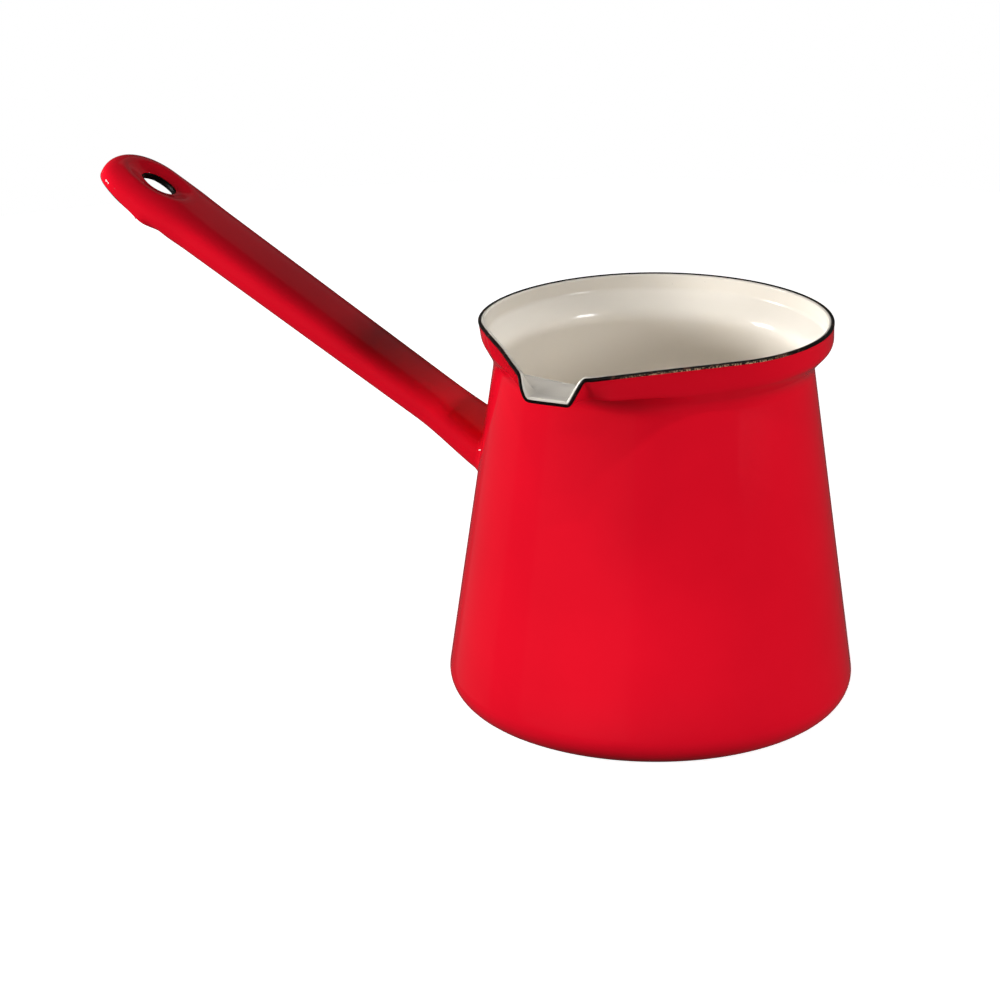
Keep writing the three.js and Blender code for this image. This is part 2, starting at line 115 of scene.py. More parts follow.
# Handle: a closed tube that opens into a spoon-like end with a dimpled slot.
HANDLE_ROOT = (42.3, 58.3)
HANDLE_CLIMB = math.radians(27.8)
HANDLE_LENGTH = 137.1
HANDLE_SHEET = 1.0
TUBE_HALF_WIDTH = (9.1, 10.4)
TUBE_HALF_HEIGHT = (5.0, 5.6)
SECTION_ROUNDNESS = 2.3
TOP_SQUARENESS = 3.0
TOP_DROP = 0.8
ROOT_FLARE = 1.7
ROOT_FLARE_LENGTH = 24.0
SPOON_START = 102.0
SPOON_FULL = 119.0
SPOON_HALF_WIDTH = 11.7
SPOON_TOP = 5.4
SPOON_WIDEST = -0.4
SPOON_EDGE = -2.8
BELLY_END = (108.0, 122.0)
SPOON_OPENS = (111.5, 118.0)
NOSE_START = 125.0
NOSE_SQUARENESS = 2.6
NOSE_DROP = 1.6
EDGE_LIFT = 1.9
EDGE_LIFT_REACH = (118.0, 133.0)
SLOT_CENTRE = 122.0
SLOT_LENGTH = 10.8
SLOT_WIDTH = 6.9
DIMPLE_DEPTH = 2.1
DIMPLE_REACH = (12.0, 8.0)
DIMPLE_FLAT = 0.35
MOUTH_CORNER = 118.5
MOUTH_DEPTH = 3.0
MOUTH_SQUARENESS = 2.5
TIP_EDGE_WIDTH = 1.02
TIP_EDGE_DROP = 0.02
TIP_EDGE_HALF_HEIGHT = 0.2
TIP_EDGE_LEAST = 0.3
TIP_EDGE_GROWTH = 9
SLOT_EDGE_CENTRE = (0.12, 0.5)
SLOT_EDGE_HALF = (0.28, 0.92)

# Welds.
WELD_LEG = 3.4
WELD_UNDER_GAIN = 0.3
WELD_SINK = 0.06
WELD_CORE_SINK = 0.5
SEAM_START = 8.0
SEAM_END = 98.0
SEAM_END_SQUARENESS = 24
SEAM_LEAST_WIDTH = 0.15
SEAM_WIDTH_GAIN = 0.85
SEAM_HALF_WIDTH = 0.75
SEAM_SINK = 0.1
SEAM_HEIGHT = 0.32

# Numerical limits. Those of the meshes are in metres.
MERGE_DISTANCE = 1e-6
SHORTEST_EDGE = 1e-7
LEAST_COSINE = 0.1
LEAST_WIDTH = 1e-6
SPLINE_END_MARGIN = 1e-9
MEETING_STEPS = 12

# ---- Small maths --------------------------------------------------------------------------------


def lerp(a, b, t):
    return a + (b - a) * t


def smoothstep(low, high, x):
    t = np.clip((x - low) / (high - low), 0, 1)
    return t * t * (3 - 2 * t)


def soft_min(a, b, blend):
    return -blend * np.logaddexp(-a / blend, -b / blend)


def soft_clamp(x, rounding):
    """x held between 0 and 1, with both corners rounded."""
    rise = np.logaddexp(0, x / rounding)
    return rounding * (rise - np.logaddexp(0, (x - 1) / rounding))


def unit(vectors):
    return vectors / np.linalg.norm(vectors, axis=-1, keepdims=True)


def full_turn(count):
    return np.linspace(0, 2 * math.pi, count + 1)[:-1]


def in_zones(ends, counts):
    """Evenly spaced values in each zone between two ends, with no end given twice."""
    zones = [np.linspace(a, b, count)[1:] for a, b, count in zip(ends, ends[1:], counts)]
    return np.concatenate([ends[:1], *zones])


# ---- Meshes from rings --------------------------------------------------------------------------


def ring_faces(rows, columns, wrap_rows=False, wrap_columns=True, start=0):
    """Quads between neighbouring rings. Start is the index of the first ring's first point."""
    faces = []
    for i in range(rows if wrap_rows else rows - 1):
        for j in range(columns if wrap_columns else columns - 1):
            a, b = i * columns + j, i * columns + (j + 1) % columns
            c, d = ((i + 1) % rows) * columns + (j + 1) % columns, ((i + 1) % rows) * columns + j
            faces.append((start + a, start + b, start + c, start + d))
    return faces


def piece(name, points, faces, node, material):
    """A smooth piece that replaces a CAD node."""
    mesh = bpy.data.meshes.new(name)
    mesh.from_pydata((np.asarray(points).reshape(-1, 3) * MM).tolist(), [], faces)
    bm = bmesh.new()
    bm.from_mesh(mesh)
    bmesh.ops.remove_doubles(bm, verts=bm.verts, dist=MERGE_DISTANCE)
    bmesh.ops.dissolve_degenerate(bm, edges=bm.edges, dist=SHORTEST_EDGE)
    bmesh.ops.recalc_face_normals(bm, faces=bm.faces)
    bm.to_mesh(mesh)
    bm.free()
    mesh.shade_smooth()
    mesh.materials.append(material)
    obj = bpy.data.objects.new(name, mesh)
    bpy.context.scene.collection.objects.link(obj)
    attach(obj, "root")
    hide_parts(node)
    return obj


def cup(name, rings, node, material):
    """A closed body through rings that start and end at a centre point."""
    rings = np.asarray(rings)
    rows, columns = rings.shape[:2]
    points = np.vstack([rings.reshape(-1, 3), rings[0].mean(axis=0), rings[-1].mean(axis=0)])
    faces = ring_faces(rows, columns)
    last = rows * columns
    for j in range(columns):
        after = (j + 1) % columns
        faces.append((last, after, j))
        faces.append((last + 1, last - columns + j, last - columns + after))
    piece(name, points, faces, node, material)


def hoop(name, rings, node, material):
    """A closed body through rings whose last one joins the first."""
    rings = np.asarray(rings)
    faces = ring_faces(*rings.shape[:2], wrap_rows=True)
    return piece(name, rings, faces, node, material)


# ---- Pot surface --------------------------------------------------------------------------------


def wall_radius(height):
    return WALL_RADIUS_AT_FLOOR - WALL_TAPER * height


def drawn_out_radius(round_radius, reach, angle):
    """A round rim whose front is drawn out into two straight flanks and cut off square."""
    off_flank = np.abs(angle) - FLANK_ANGLE
    flank = FLANK_DISTANCE / np.maximum(np.cos(off_flank), LEAST_COSINE)
    front = np.cos(angle) + LIP_SKEW * np.sin(angle)
    end = reach / np.maximum(front, LEAST_COSINE)
    offset = RIM_OFFSET * np.cos(angle - RIM_OFFSET_ANGLE)
    round_side = soft_min(np.full_like(angle, round_radius), flank, RIM_BLEND)
    return offset + np.where(off_flank > 0, round_side, soft_min(flank, end, LIP_BLEND))


def rim_point(angle):
    """Radius and height of the rim: a tilted circle with a slight swell, cut down at the lip."""
    swell = RIM_SWELL * np.maximum(np.cos(angle - RIM_SWELL_ANGLE), 0) ** RIM_SWELL_POWER
    level = RIM_HEIGHT + RIM_TILT * np.cos(angle - RIM_TILT_ANGLE) + swell
    sag = LEFT_CORNER_SAG * smoothstep(-LEFT_SAG_ANGLE, -LIP_CORNER_ANGLE, np.minimum(angle, 0))
    sag = np.where(angle < 0, sag, 0)
    floor_edge = np.where(angle < 0, *LIP_FLOOR_ANGLES)
    rounding = np.where(angle < 0, *LIP_ROUNDING)
    cut = soft_clamp((np.abs(angle) - floor_edge) / (LIP_CORNER_ANGLE - floor_edge), rounding)
    radius = drawn_out_radius(RIM_RADIUS, LIP_REACH, angle)
    return np.stack([radius, lerp(LIP_HEIGHT, level - sag, cut)])


def collar_controls(angle):
    """Points that steer the meridian from the wall, through the neck, to the rim."""
    lean_share = 1 - smoothstep(*LEAN_FADE, np.abs(angle))
    fold_share = 1 - smoothstep(*FOLD_FADE, np.abs(angle))
    lean = FLANK_LEAN * lean_share * smoothstep(0, LIP_CORNER_ANGLE, np.abs(angle))
    foot = np.stack([
        drawn_out_radius(BAND_RADIUS, LIP_FOOT_REACH, angle) - lean,
        lerp(BAND_FOOT_HEIGHT, LIP_HEIGHT, lean_share),
    ])
    on_wall = [
        np.stack([np.full_like(angle, wall_radius(height)), np.full_like(angle, height)])
        for height in (COLLAR_START_HEIGHT, COLLAR_BEND_HEIGHT, NECK_HEIGHT)
    ]
    fold = np.array(LIP_FOLD)[:, None]
    flare = lerp(lerp(on_wall[2], foot, FLARE_POINT), fold, fold_share)
    rim = rim_point(angle)
    return [*on_wall, flare, foot, lerp(foot, rim, BAND_STEER), rim]


def spline_point(controls, t):
    """A clamped quadratic B-spline, t from 0 to 1."""
    spans = len(controls) - 2
    place = min(t * spans, spans - SPLINE_END_MARGIN)
    span = int(place)
    u = place - span
    steer = controls[span + 1]
    start = controls[0] if span == 0 else lerp(controls[span], steer, 0.5)
    end = controls[-1] if span == spans - 1 else lerp(steer, controls[span + 2], 0.5)
    return lerp(lerp(start, steer, u), lerp(steer, end, u), u)


WALL_LEAN = math.atan(WALL_TAPER)
CORNER_SWEEP = math.pi / 2 + WALL_LEAN
FOOT_RADIUS = WALL_RADIUS_AT_FLOOR - BASE_CORNER_RADIUS * math.tan(CORNER_SWEEP / 2)
CORNER_TOP = BASE_CORNER_RADIUS * (1 + math.sin(WALL_LEAN))
WALL_STATION, COLLAR_STATION, RIM_STATION = 1, 2, 3


def on_pot(angle, station):
    """The outer face. Station 0 is the flat base's edge, and the base corner, the wall and the
    collar each take one more."""
    if station <= WALL_STATION:
        turn = station * CORNER_SWEEP - math.pi / 2
        radius = np.full_like(angle, FOOT_RADIUS + BASE_CORNER_RADIUS * math.cos(turn))
        height = np.full_like(angle, BASE_CORNER_RADIUS * (1 + math.sin(turn)))
    elif station <= COLLAR_STATION:
        level = lerp(CORNER_TOP, COLLAR_START_HEIGHT, station - WALL_STATION)
        radius, height = np.full_like(angle, wall_radius(level)), np.full_like(angle, level)
    else:
        radius, height = spline_point(collar_controls(angle), station - COLLAR_STATION)
    return np.stack([radius * np.sin(angle), -radius * np.cos(angle), height], axis=-1)


STATION_PROBE = 0.01
ANGLE_PROBE = math.radians(0.8)


def in_sheet(angle, station, depth, rise=0.0):
    """Points at a depth below the outer face, moved a further distance up the sheet."""
    up = unit(on_pot(angle, min(station + STATION_PROBE, RIM_STATION))
              - on_pot(angle, max(station - STATION_PROBE, 0)))
    around = on_pot(angle + ANGLE_PROBE, station) - on_pot(angle - ANGLE_PROBE, station)
    outward = unit(np.cross(around, up))
    return on_pot(angle, station) - depth * outward + rise * up


# Meridians from the lip round to the back, closest together at the lip and then on its flanks.
HALF = np.radians(in_zones((0, 12, 62, 180), (60, 50, 70)))
ANGLES = np.concatenate([-HALF[-2:0:-1], HALF])
STATIONS = in_zones((0, WALL_STATION, COLLAR_STATION, RIM_STATION), (13, 25, 57))
BASE_RING_SHARES = (0.02, 0.35, 0.7, 0.93)


def base_rings(depth):
    """Rings on the flat base, from near its centre outwards."""
    edge = in_sheet(ANGLES, 0, depth)
    flat = edge * [1, 1, 0]
    return [flat * share + [0, 0, depth] for share in BASE_RING_SHARES]


def coat_rings(outer_depth, inner_depth, top):
    """Rings up one face of a coat, over its top and down the other face."""
    up = [in_sheet(ANGLES, s, outer_depth) for s in STATIONS]
    down = [in_sheet(ANGLES, s, inner_depth) for s in STATIONS[::-1]]
    over = [in_sheet(ANGLES, RIM_STATION, depth, rise) for depth, rise in top]
    return base_rings(outer_depth) + up + over + down + base_rings(inner_depth)[::-1]


def make_pot_shell(material):
    rings = coat_rings(0, SHELL_THICKNESS, SHELL_TOP)
    cup("pot_shell_fine", rings, "pot_shell", material)


def make_lining(material):
    """The cream coat. Its top rolls over towards the cut edge."""
    inner = LINING_DEPTH + LINING_THICKNESS
    centre = LINING_DEPTH - LINING_ROLL_INSET
    turns = np.linspace(0, math.pi / 2, 7)
    depths = centre + LINING_ROLL_REACH * np.sin(turns)
    rises = LINING_ROLL_FOOT + LINING_ROLL_RISE * np.cos(turns)
    start = (LINING_DEPTH - LINING_START[0], LINING_START[1])
    rings = coat_rings(LINING_DEPTH, inner, [start, *zip(depths, rises)])
    cup("enamel_lining_fine", rings, "enamel_lining", material)


def make_rim_edge(material):
    """The black coat on the cut edge: a rounded bead, with light specks on its outer side between
    the lip and the side, partly chipped enamel and partly painted glints.
    """
    turns = np.linspace(0, math.pi, 9)
    depths = EDGE_CENTRE - EDGE_HALF_WIDTH * np.cos(turns)
    rises = EDGE_RISE - EDGE_CROWN + EDGE_CROWN * np.sin(turns)
    outer_foot = (-EDGE_HALF_WIDTH + EDGE_CENTRE, EDGE_GAP - EDGE_OUTER_FOOT)
    inner_foot = (EDGE_HALF_WIDTH + EDGE_CENTRE, EDGE_GAP - EDGE_INNER_FOOT)
    section = [outer_foot, *zip(depths, rises), inner_foot]
    rings = [in_sheet(ANGLES, RIM_STATION, depth, rise) for depth, rise in section]
    obj = hoop("rim_edge_fine", rings, "rim_edge", material)
    # Where the light specks go: partly chipped enamel, partly painted glints, on the stretch of
    # rim between the lip and the side.
    chipped_and_glinting = obj.data.attributes.new("chipped_and_glinting", "FLOAT", "POINT")
    places = np.array([vertex.co for vertex in obj.data.vertices]) / MM
    angle = np.arctan2(places[:, 0], -places[:, 1])
    below = rim_point(angle)[1] + SPECK_LEVEL - places[:, 2]
    outside = np.hypot(places[:, 0], places[:, 1]) > rim_point(angle)[0] - SPECK_DEPTH
    stretch = smoothstep(*SPECK_FROM, angle) * (1 - smoothstep(*SPECK_TO, angle))
    chipped_and_glinting.data.foreach_set("value", stretch * outside * smoothstep(0, SPECK_BLEND, below))


# ---- Handle -------------------------------------------------------------------------------------

# Along the handle, square to it and upwards, and towards the lip's side.
ALONG = np.array([-math.cos(HANDLE_CLIMB), 0, math.sin(HANDLE_CLIMB)])
ABOVE = np.array([math.sin(HANDLE_CLIMB), 0, math.cos(HANDLE_CLIMB)])
SIDE = np.array([0.0, -1.0, 0.0])
ROOT = np.array([-HANDLE_ROOT[0], 0, HANDLE_ROOT[1]])


def on_handle(along, side, above):
    """A point at a distance along the handle's axis, to its side and above it."""
    along, side, above = np.broadcast_arrays(along, side, above)
    return ROOT + along[..., None] * ALONG + side[..., None] * SIDE + above[..., None] * ABOVE


def handle_section(along):
    """Half-width, top, widest level and underside at distances along the handle."""
    tube = np.clip(along / SPOON_START, 0, 1)
    spoon = smoothstep(SPOON_START, SPOON_FULL, along)
    flare = ROOT_FLARE * (1 - smoothstep(0, ROOT_FLARE_LENGTH, along))
    nose = np.clip((along - NOSE_START) / (HANDLE_LENGTH - NOSE_START), 0, 1)
    outline = (1 - nose ** NOSE_SQUARENESS) ** (1 / NOSE_SQUARENESS)
    half = lerp(lerp(*TUBE_HALF_WIDTH, tube) + flare, SPOON_HALF_WIDTH, spoon) * outline
    high = lerp(*TUBE_HALF_HEIGHT, tube)
    roof = high - TOP_DROP
    dome = lerp(SPOON_WIDEST, SPOON_TOP - NOSE_DROP * nose, np.sqrt(outline))
    edge = SPOON_EDGE + EDGE_LIFT * smoothstep(*EDGE_LIFT_REACH, along)
    under = lerp(-high - flare, edge, smoothstep(*BELLY_END, along))
    return half, lerp(roof, dome, spoon), lerp(0, SPOON_WIDEST, spoon), under


def top_squareness(along):
    return lerp(TOP_SQUARENESS, SECTION_ROUNDNESS, smoothstep(SPOON_START, SPOON_FULL, along))


def dimple(along, side):
    """How far the sheet round the slot is pressed down."""
    far = np.hypot((along - SLOT_CENTRE) / DIMPLE_REACH[0], side / DIMPLE_REACH[1])
    return DIMPLE_DEPTH * (1 - smoothstep(DIMPLE_FLAT, 1, far))


def top_level(along, side):
    """Height of the upper sheet over a point, dimple included."""
    half, top, widest, _ = handle_section(along)
    share = np.clip(np.abs(side) / np.maximum(half, LEAST_WIDTH), 0, 1)
    power = top_squareness(along)
    crown = (1 - share ** power) ** (1 / power)
    return widest + (top - widest) * crown - dimple(along, side)


def section_point(along, turn, let_out=0.0):
    """A point on the section. Turn runs from the lip's side, over the top, and under. Where the
    section is open, a wall stands upright over the first eighth of a turn below each side, and
    the points below it lie level."""
    half, top, widest, under = handle_section(along)
    cosine, sine = np.cos(turn), np.sin(turn)
    power = 2 / np.where(sine > 0, top_squareness(along), SECTION_ROUNDNESS)
    side = (half + let_out) * np.sign(cosine) * np.abs(cosine) ** power
    reach = np.where(sine >= 0, top - widest, widest - under) + let_out
    level = widest + reach * np.sign(sine) * np.abs(sine) ** power
    level = level - np.where(sine > 0, dimple(along, side), 0)
    quarter = np.clip(np.abs(sine) ** 2 * 2, 0, 1)
    flat = np.clip(1 - (np.abs(cosine) ** 2) * 2, 0, 1)
    open_side = np.sign(cosine) * half * (1 - flat)
    open_level = lerp(widest, under, quarter)
    opened = np.where(sine < 0, smoothstep(*SPOON_OPENS, along), 0)
    return lerp(side, open_side, opened), lerp(level, open_level, opened)


def root_meeting(turn, let_out, clearance):
    """How far along the section's edge, let out by a distance, comes to the wall."""
    along = np.zeros_like(turn)
    for _ in range(MEETING_STEPS):
        p = on_handle(along, *section_point(along, turn, let_out))
        gap = wall_radius(p[..., 2]) + clearance - np.hypot(p[..., 0], p[..., 1])
        along = along + gap / math.cos(HANDLE_CLIMB)
    return along


# The handle's mesh: the tube's rings stop at the patch, which carries the slot.
PATCH_START = 112.0
TOP_COLUMNS = 40
WALL_COLUMNS = 8
UNDER_COLUMNS = 16
EDGE_TURN = math.pi / 4
ROOT_SINK = 0.5
NEAR_ROOT_RINGS = 19
PLAIN_RINGS = 27
SPOON_RINGS = 9
PATCH_RINGS = 33
PATCH_SPACING = 1.25
BELLY_RINGS = 9
SPOON_SIDE_COLUMNS = 9
NOSE_COLUMNS = 20

TOP_TURNS = np.linspace(0, math.pi, TOP_COLUMNS + 1)
FAR_WALL = math.pi + np.linspace(0, EDGE_TURN, WALL_COLUMNS + 1)[1:]
UNDER_TURNS = np.linspace(math.pi + EDGE_TURN, 2 * math.pi - EDGE_TURN, UNDER_COLUMNS + 1)[1:]
NEAR_WALL = 2 * math.pi - np.linspace(EDGE_TURN, 0, WALL_COLUMNS + 1)[1:-1]
TURNS = np.concatenate([TOP_TURNS, FAR_WALL, UNDER_TURNS, NEAR_WALL])


def tube_rings():
    """The closed tube, from inside the pot's wall to the patch."""
    start = root_meeting(TURNS, 0, -ROOT_SINK)
    near_root = [lerp(start, ROOT_FLARE_LENGTH, t) for t in np.linspace(0, 1, NEAR_ROOT_RINGS)]
    ends = (ROOT_FLARE_LENGTH, SPOON_START, PATCH_START)
    beyond = in_zones(ends, (PLAIN_RINGS, SPOON_RINGS))[1:]
    places = near_root + [np.full_like(TURNS, along) for along in beyond]
    return [on_handle(along, *section_point(along, TURNS)) for along in places]


def outline_path():
    """Distances along the open end's outline, from the lip's side, and the index of its tip."""
    ends = (PATCH_START, MOUTH_CORNER, NOSE_START)
    straight = in_zones(ends, (BELLY_RINGS, SPOON_SIDE_COLUMNS))
    turn = np.linspace(0, math.pi / 2, NOSE_COLUMNS + 1)[1:]
    nose = NOSE_START + (HANDLE_LENGTH - NOSE_START) * np.sin(turn) ** (2 / NOSE_SQUARENESS)
    near = np.concatenate([straight, nose])
    return np.concatenate([near, near[-2::-1]]), len(near) - 1


def outline_side(along, tip):
    """Signed half-widths at the outline's points."""
    side = handle_section(along)[0]
    side[tip] = 0
    side[tip + 1:] *= -1
    return side


def slot_outline(directions):
    """Points of the slot's outline in given directions from its centre."""
    across = np.hypot(directions[:, 0] / SLOT_LENGTH, directions[:, 1] / SLOT_WIDTH)
    return directions / (2 * across[:, None])


def spoon_patch():
    """The open end's upper sheet, in rings from the slot out to the outline."""
    along, tip = outline_path()
    side = outline_side(along, tip)
    across = TOP_TURNS[-2:0:-1]
    cross_side = section_point(np.full_like(across, PATCH_START), across)[0]
    outline = np.column_stack([
        np.concatenate([along, np.full_like(cross_side, PATCH_START)]),
        np.concatenate([side, cross_side]),
    ])
    centre = np.array([SLOT_CENTRE, 0])
    hole = slot_outline(unit(outline - centre)) + centre
    rings = []
    for t in np.sin(np.linspace(0, 1, PATCH_RINGS) * math.pi / 2) ** PATCH_SPACING:
        p = lerp(hole, outline, t)
        level = top_level(p[:, 0], p[:, 1])
        if t == 1:
            level[:len(along)] = handle_section(along)[2]
        rings.append(on_handle(p[:, 0], p[:, 1], level))
    return rings


def spoon_wall():
    """The upright wall round the open end, from the outline down to its edge."""
    along, tip = outline_path()
    side = outline_side(along, tip)
    half = handle_section(along)[0]
    rings = []
    for step in range(WALL_COLUMNS + 1):
        turn = step / WALL_COLUMNS * EDGE_TURN
        near = section_point(along, np.full_like(along, 2 * math.pi - turn))
        share = np.where(half > LEAST_WIDTH, near[0] / np.maximum(half, LEAST_WIDTH), 1)
        rings.append(on_handle(along, side * share, near[1]))
    return rings


def belly_rings():
    """The underside between the closed tube and the mouth's curved edge."""
    turns = np.concatenate([[math.pi + EDGE_TURN], UNDER_TURNS])
    across = np.cos(turns) / math.cos(EDGE_TURN)
    mouth = MOUTH_CORNER - MOUTH_DEPTH * (1 - np.abs(across) ** MOUTH_SQUARENESS)
    places = [lerp(PATCH_START, mouth, t) for t in np.linspace(0, 1, BELLY_RINGS)]
    return [on_handle(along, *section_point(along, turns)) for along in places]


def make_handle(material):
    """The handle's outer face, thickened inwards to a sheet and smoothed."""
    parts = [
        (tube_rings(), True), (spoon_patch(), True), (spoon_wall(), False), (belly_rings(), False),
    ]
    points, faces = [], []
    for rings, wrap in parts:
        rings = np.asarray(rings)
        faces += ring_faces(*rings.shape[:2], wrap_columns=wrap, start=len(points))
        points += rings.reshape(-1, 3).tolist()
    obj = piece("handle_shell_fine", points, faces, "handle_shell", material)
    sheet = obj.modifiers.new("sheet", "SOLIDIFY")
    sheet.thickness = HANDLE_SHEET * MM
    sheet.offset = -1
    fine = obj.modifiers.new("fine", "SUBSURF")
    fine.levels = fine.render_levels = 1


def make_root_weld(material):
    """The fillet round the handle's root, from the tube's face to the wall's."""
    turns = full_turn(96)
    leg = WELD_LEG * (1 + WELD_UNDER_GAIN * np.maximum(-np.sin(turns), 0))
    start = root_meeting(turns, -WELD_SINK, -WELD_SINK)
    corner = on_handle(start, *section_point(start, turns, -WELD_SINK))
    tube = start + leg
    on_tube = on_handle(tube, *section_point(tube, turns, -WELD_SINK))
    wall = root_meeting(turns, leg, -WELD_SINK)
    on_wall = on_handle(wall, *section_point(wall, turns, leg))
    rings = [
        lerp(lerp(on_tube, corner, t), lerp(corner, on_wall, t), t) for t in np.linspace(0, 1, 13)
    ]
    core = root_meeting(turns, -WELD_CORE_SINK, -WELD_CORE_SINK)
    rings.append(on_handle(core, *section_point(core, turns, -WELD_CORE_SINK)))
    hoop("handle_root_weld_fine", rings, "handle_root_weld", material)


def inward_across(path):
    """Directions square to a closed path and level with the handle, towards its middle."""
    tangent = unit(np.roll(path, -1, axis=0) - np.roll(path, 1, axis=0))
    across = np.cross(tangent, ABOVE)
    to_middle = path.mean(axis=0) - path
    return unit(across * np.sign(np.sum(across * to_middle, axis=1, keepdims=True)))


def make_tip_edge(material):
    """The black coat on the open end's cut edge, all round the mouth. It thins at the belly."""
    mouth_corner = BELLY_RINGS - 1
    wall = np.asarray(spoon_wall())[-1][mouth_corner:-mouth_corner]
    belly = np.asarray(belly_rings())[-1]
    path = np.vstack([wall, belly[1:-1]])
    inward = inward_across(path)
    reach = (path - ROOT) @ ALONG
    growth = smoothstep(MOUTH_CORNER, MOUTH_CORNER + TIP_EDGE_GROWTH, reach)
    share = lerp(TIP_EDGE_LEAST, 1, growth)[:, None]
    half = HANDLE_SHEET / 2
    middle = path + half * inward
    rings = [
        middle + half * TIP_EDGE_WIDTH * math.cos(turn) * (share * inward)
        + (TIP_EDGE_DROP + TIP_EDGE_HALF_HEIGHT * math.sin(turn)) * (-ABOVE * share)
        for turn in full_turn(12)
    ]
    hoop("handle_tip_edge_fine", rings, "handle_tip_edge", material)


def make_slot_edge(material):
    """The black coat on the wall of the hanging slot."""
    around = full_turn(96)
    outline = slot_outline(np.column_stack([np.cos(around), np.sin(around)]))
    along, side = outline[:, 0] + SLOT_CENTRE, outline[:, 1]
    path = on_handle(along, side, top_level(along, side) - HANDLE_SHEET / 2)
    inward = inward_across(path)
    rings = [
        path + (SLOT_EDGE_CENTRE[0] + SLOT_EDGE_HALF[0] * math.cos(turn)) * inward
        + (SLOT_EDGE_CENTRE[1] + SLOT_EDGE_HALF[1] * math.sin(turn)) * -ABOVE
        for turn in full_turn(12)
    ]
    hoop("slot_edge_fine", rings, "slot_edge", material)


def make_seam_weld(material):
    """The low bead of the seam along the tube's underside, which fades out at both ends."""
    along = np.linspace(SEAM_START, SEAM_END, 91)
    off_middle = np.abs(2 * (along - SEAM_START) / (SEAM_END - SEAM_START) - 1)
    fade = np.sqrt(np.clip(1 - off_middle ** SEAM_END_SQUARENESS, 0, 1))
    path = on_handle(along, 0, handle_section(along)[3])
    side = SIDE * (SEAM_LEAST_WIDTH + SEAM_WIDTH_GAIN * fade)[:, None]
    rings = [
        path + SEAM_HALF_WIDTH * math.cos(turn) * side
        - (-SEAM_SINK + SEAM_HEIGHT * math.sin(turn)) * fade[:, None] * ABOVE
        for turn in np.linspace(0, math.pi, 9)
    ]
    faces = ring_faces(len(rings), len(path), wrap_rows=True, wrap_columns=False)
    piece("handle_seam_weld_fine", rings, faces, "handle_seam_weld", material)


# ---- Enamels ------------------------------------------------------------------------------------

ENAMEL_IOR = 1.52

# Noise scales are in cells per metre, and the ripple's depth is in metres.
DRIFT_SCALE = 28
GLOSS_SCALE = 60
RIPPLE_SCALE = 170
RIPPLE_DEPTH = 0.0004
DOT_SOFTNESS = 0.03
# Size and cut-off of the light specks on the rim's bead, partly chipped enamel and partly painted
# glints.
SPECK_SCALE = 2300
SPECK_RANGE = (0.48, 0.58)


def enamel(name, colours, roughness, shine, mottle, ripple, dots=None, chipped_and_glinting=None):
    """Glossy vitreous enamel: slow colour drift and a rippled surface, and if asked, pinhole dots
    and a light colour for specks where a mesh's attribute marks them, partly chipped enamel and
    partly painted glints."""
    material = bpy.data.materials.new(name)
    material.use_nodes = True
    tree = material.node_tree
    shader = tree.nodes["Principled BSDF"]
    coords = tree.nodes.new("ShaderNodeTexCoord").outputs["Object"]
    link = tree.links.new

    def noise(scale, detail):
        node = tree.nodes.new("ShaderNodeTexNoise")
        node.inputs["Scale"].default_value = scale
        node.inputs["Detail"].default_value = detail
        link(coords, node.inputs["Vector"])
        return node.outputs["Fac"]

    def ramp(source, positions):
        node = tree.nodes.new("ShaderNodeValToRGB")
        for element, position in zip(node.color_ramp.elements, positions):
            element.position = position
        link(source, node.inputs["Fac"])
        return node

    def covered(under, over, factor):
        mix = tree.nodes.new("ShaderNodeMix")
        mix.data_type = "RGBA"
        link(factor, mix.inputs["Factor"])
        link(under, mix.inputs["A"])
        mix.inputs["B"].default_value = (*over, 1)
        return mix.outputs["Result"]

    drift = ramp(noise(DRIFT_SCALE, 3), (0.5 - mottle, 0.5 + mottle))
    for element, shade in zip(drift.color_ramp.elements, colours):
        element.color = (*shade, 1)
    colour = drift.outputs["Color"]
    if dots:
        start = dots["from"]
        mask = ramp(noise(dots["scale"], 2), (start, start + DOT_SOFTNESS))
        colour = covered(colour, dots["colour"], mask.outputs["Color"])
    # Light specks from the mesh's attribute: partly chipped enamel, partly painted glints.
    if chipped_and_glinting:
        reach = tree.nodes.new("ShaderNodeAttribute")
        reach.attribute_name = "chipped_and_glinting"
        specks = tree.nodes.new("ShaderNodeMapRange")
        specks.inputs["From Min"].default_value = SPECK_RANGE[0]
        specks.inputs["From Max"].default_value = SPECK_RANGE[1]
        link(noise(SPECK_SCALE, 3), specks.inputs["Value"])
        both = tree.nodes.new("ShaderNodeMath")
        both.operation = "MULTIPLY"
        link(reach.outputs["Fac"], both.inputs[0])
        link(specks.outputs["Result"], both.inputs[1])
        colour = covered(colour, chipped_and_glinting, both.outputs[0])
    link(colour, shader.inputs["Base Color"])
    gloss = tree.nodes.new("ShaderNodeMapRange")
    gloss.inputs["To Min"].default_value = roughness[0]
    gloss.inputs["To Max"].default_value = roughness[1]
    link(noise(GLOSS_SCALE, 4), gloss.inputs["Value"])
    link(gloss.outputs["Result"], shader.inputs["Roughness"])
    bump = tree.nodes.new("ShaderNodeBump")
    bump.inputs["Strength"].default_value = ripple
    bump.inputs["Distance"].default_value = RIPPLE_DEPTH
    link(noise(RIPPLE_SCALE, 3), bump.inputs["Height"])
    link(bump.outputs["Normal"], shader.inputs["Normal"])
    shader.inputs["IOR"].default_value = ENAMEL_IOR
    shader.inputs["Specular IOR Level"].default_value = shine
    return material


